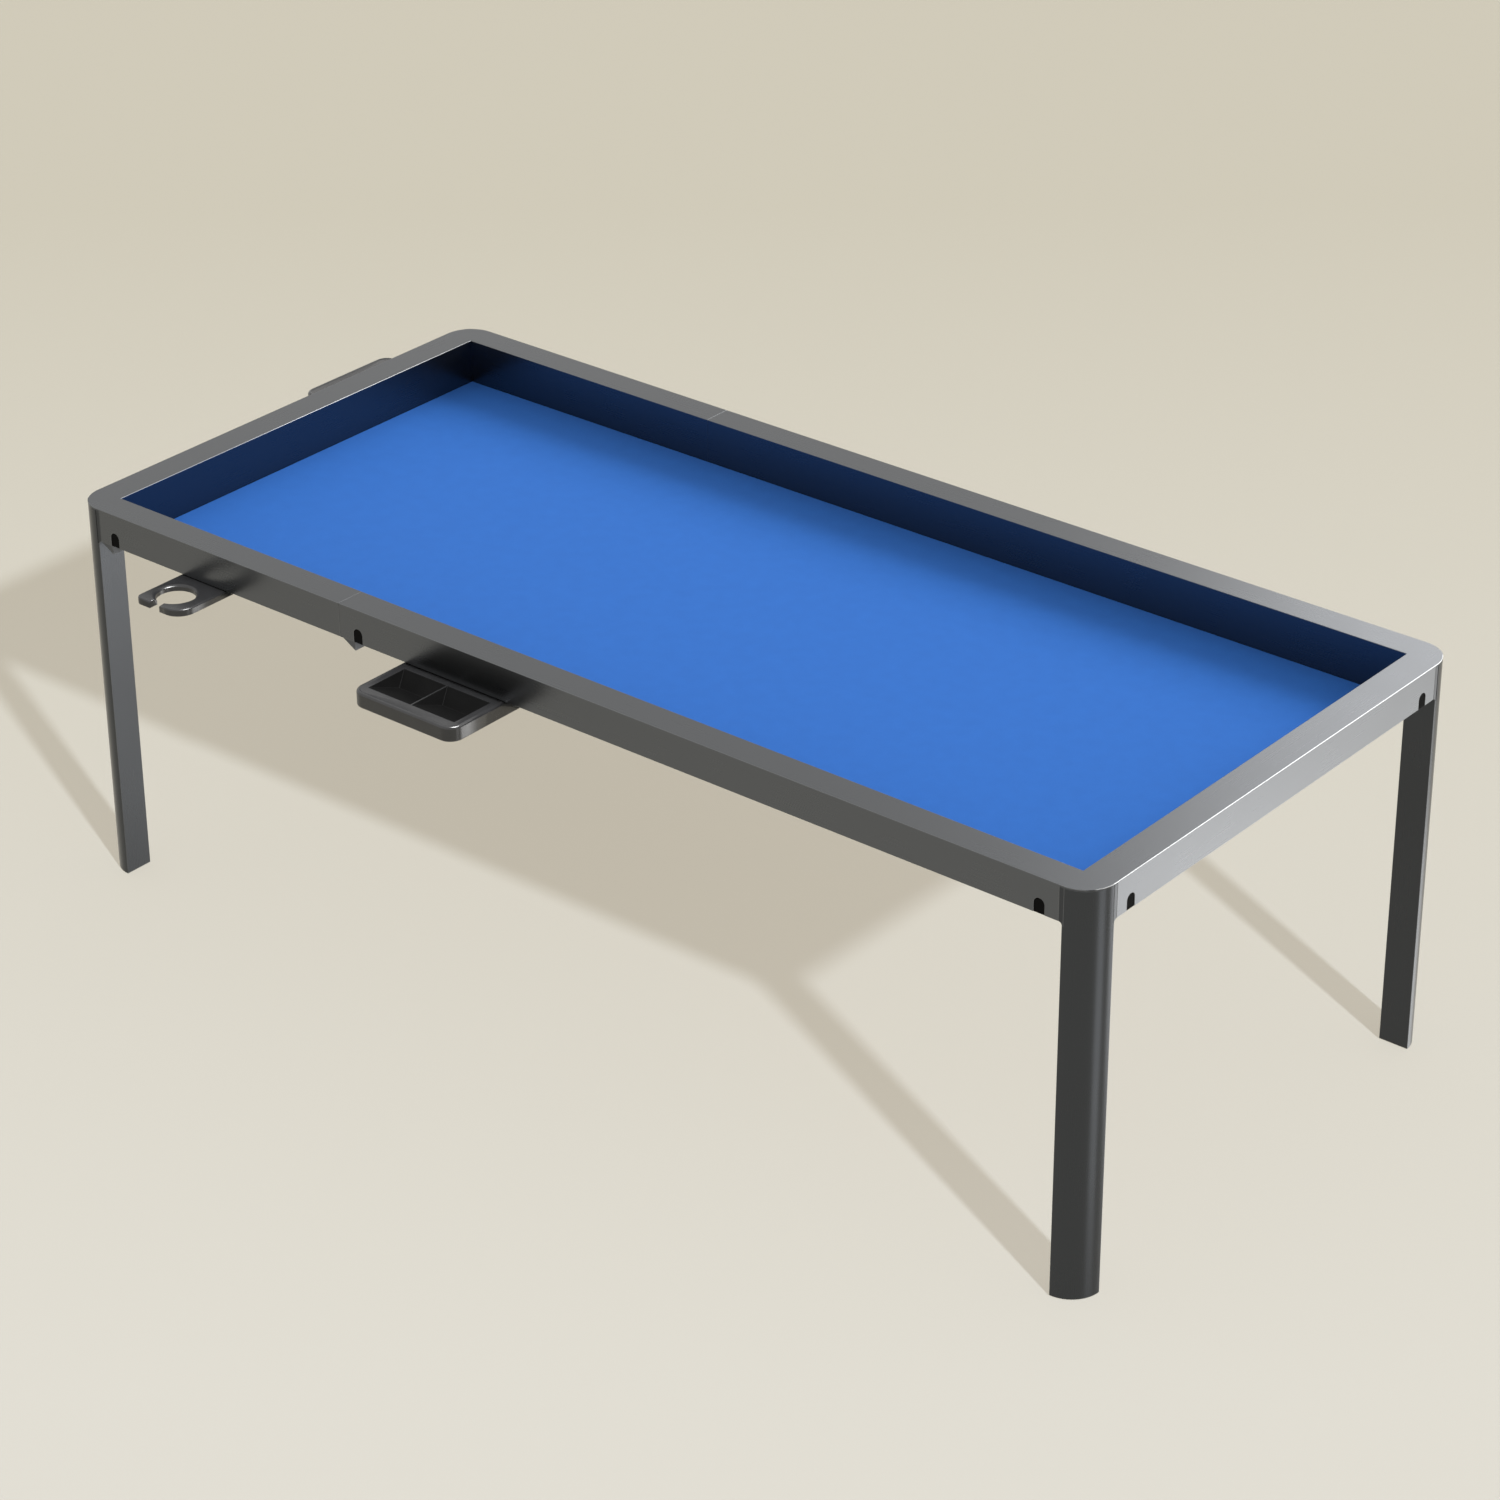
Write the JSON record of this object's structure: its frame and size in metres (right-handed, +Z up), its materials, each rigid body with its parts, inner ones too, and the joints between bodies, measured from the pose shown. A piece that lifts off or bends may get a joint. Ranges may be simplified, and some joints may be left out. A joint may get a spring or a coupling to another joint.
{
  "type": "recessed gaming table",
  "caption": "Rectangular metal gaming table with a sunken play surface, quarter-round legs, channel rails and hook-on holders that slide along them.",
  "frame": {"origin": "on the floor under the middle of the table, without its holders", "axes": "+X along the table, towards the end without a holder; +Y from the front, where the cup holder is, to the back; +Z up"},
  "size_m": [2.318, 1.142, 0.74],
  "materials": {
    "graphite_rail": "satin graphite, fine powder coat on extruded aluminium",
    "block_alloy": "cast, dark coated",
    "bolt_steel": "black oxide",
    "hook_steel": "black paint",
    "holder_moulding": "satin black moulding",
    "black_nylon": "moulded, matte",
    "plywood": "birch ply, sealed",
    "play_mat": "blue knitted face on foam rubber"
  },
  "bodies": {
    "table": {"front_rail_short": "graphite_rail", "front_rail_long": "graphite_rail", "back_rail_short": "graphite_rail", "back_rail_long": "graphite_rail", "left_rail": "graphite_rail", "right_rail": "graphite_rail", "front_block_left": "block_alloy", "front_block_seam_nut": "block_alloy", "front_block_seam": "block_alloy", "front_block_right": "block_alloy", "back_block_left": "block_alloy", "back_block_seam_nut": "block_alloy", "back_block_seam": "block_alloy", "back_block_right": "block_alloy", "left_block_front": "block_alloy", "left_block_back": "block_alloy", "right_block_front": "block_alloy", "right_block_back": "block_alloy", "front_bolt_left": "bolt_steel", "front_bolt_seam": "bolt_steel", "front_bolt_right": "bolt_steel", "back_bolt_left": "bolt_steel", "back_bolt_seam": "bolt_steel", "back_bolt_right": "bolt_steel", "left_bolt_front": "bolt_steel", "left_bolt_back": "bolt_steel", "right_bolt_front": "bolt_steel", "right_bolt_back": "bolt_steel", "leg_front_right": "graphite_rail", "leg_back_right": "graphite_rail", "leg_back_left": "graphite_rail", "leg_front_left": "graphite_rail", "leg_cap_front_right": "black_nylon", "leg_cap_back_right": "black_nylon", "leg_cap_back_left": "black_nylon", "leg_cap_front_left": "black_nylon", "panel_left": "plywood", "panel_middle": "plywood", "panel_right": "plywood", "beam_left": "graphite_rail", "beam_right": "graphite_rail", "play_mat": "play_mat"},
    "cup_holder": {"cup_holder": "holder_moulding", "cup_holder_hook": "hook_steel", "cup_holder_screw_1": "bolt_steel", "cup_holder_screw_2": "bolt_steel"},
    "front_tray": {"front_tray": "holder_moulding", "front_tray_hook": "hook_steel", "front_tray_screw_1": "bolt_steel", "front_tray_screw_2": "bolt_steel"},
    "end_tray": {"end_tray": "holder_moulding", "end_tray_hook": "hook_steel", "end_tray_screw_1": "bolt_steel", "end_tray_screw_2": "bolt_steel"},
    "glide_front_right": {"glide_front_right": "black_nylon"},
    "glide_back_right": {"glide_back_right": "black_nylon"},
    "glide_back_left": {"glide_back_left": "black_nylon"},
    "glide_front_left": {"glide_front_left": "black_nylon"}
  },
  "joints": [
    {"name": "cup_holder_slide", "type": "slide", "parent": "table", "child": "cup_holder", "axis": [1, 0, 0], "range_m": [-0.17, 0.265]},
    {"name": "front_tray_slide", "type": "slide", "parent": "table", "child": "front_tray", "axis": [1, 0, 0], "range_m": [-0.11, 1.105]},
    {"name": "end_tray_slide", "type": "slide", "parent": "table", "child": "end_tray", "axis": [0, 1, 0], "range_m": [-0.615, 0.03]},
    {"name": "glide_front_right_screw", "type": "slide", "parent": "table", "child": "glide_front_right", "axis": [0, 0, -1], "range_m": [0, 0.012]},
    {"name": "glide_back_right_screw", "type": "slide", "parent": "table", "child": "glide_back_right", "axis": [0, 0, -1], "range_m": [0, 0.012]},
    {"name": "glide_back_left_screw", "type": "slide", "parent": "table", "child": "glide_back_left", "axis": [0, 0, -1], "range_m": [0, 0.012]},
    {"name": "glide_front_left_screw", "type": "slide", "parent": "table", "child": "glide_front_left", "axis": [0, 0, -1], "range_m": [0, 0.012]}
  ]
}
